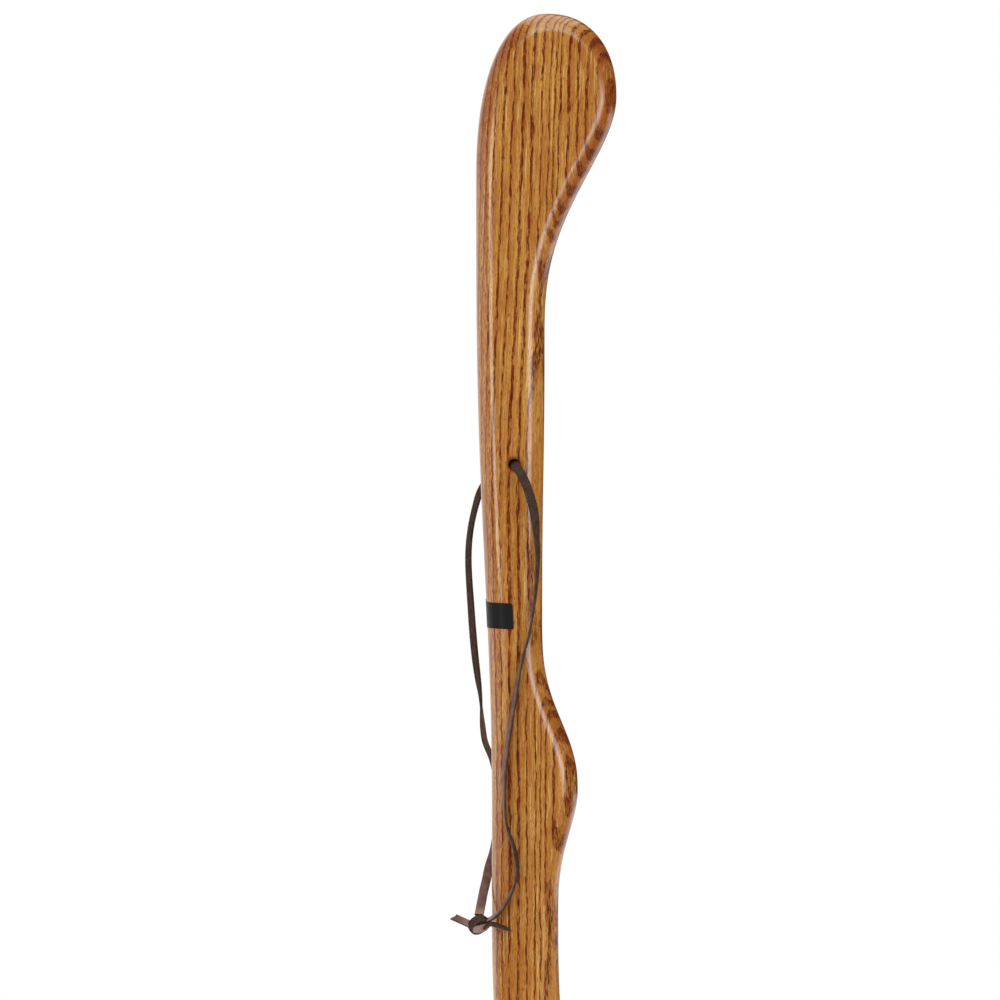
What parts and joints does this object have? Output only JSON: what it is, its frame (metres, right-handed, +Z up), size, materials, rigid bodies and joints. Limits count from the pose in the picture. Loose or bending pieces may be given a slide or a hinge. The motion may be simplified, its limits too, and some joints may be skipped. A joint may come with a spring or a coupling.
{
  "type": "hiking staff",
  "caption": "Free-form wooden hiking staff with a rounded knob head, a swelled grip, a leather wrist lanyard tied through the grip and a push-on rubber ferrule.",
  "frame": {"origin": "centre of the ferrule's ground face, at the foot of the staff", "axes": "+Z up along the staff, +X to the side that the knob head leans to, -Y to the front face that the picture shows"},
  "size_m": [0.0751, 0.049, 1.397],
  "materials": {
    "wood": "golden-brown open-grained ash or oak under clear gloss lacquer",
    "label_film": "black satin film, blank",
    "rubber": "black moulded rubber",
    "steel": "zinc-plated steel",
    "lace_leather": "dark brown latigo leather lace"
  },
  "bodies": {
    "staff_body": {"staff": "wood", "label": "label_film"},
    "lanyard_body": {"lace_through_hole": "lace_leather", "lace_front_strand": "lace_leather", "lace_rear_strand": "lace_leather", "lanyard_knot": "lace_leather", "lace_left_tail": "lace_leather", "lace_right_tail": "lace_leather"},
    "ferrule_body": {"ferrule": "rubber", "ferrule_washer": "steel"}
  },
  "joints": [
    {"name": "lanyard_swing", "type": "hinge", "parent": "staff_body", "child": "lanyard_body", "pos_m": [-0.00509, 0, 1.19], "axis": [0, 1, 0], "range_deg": [0, 150]},
    {"name": "ferrule_pull", "type": "slide", "parent": "ferrule_body", "child": "staff_body", "axis": [0, 0, 1], "range_m": [0, 0.045]}
  ]
}
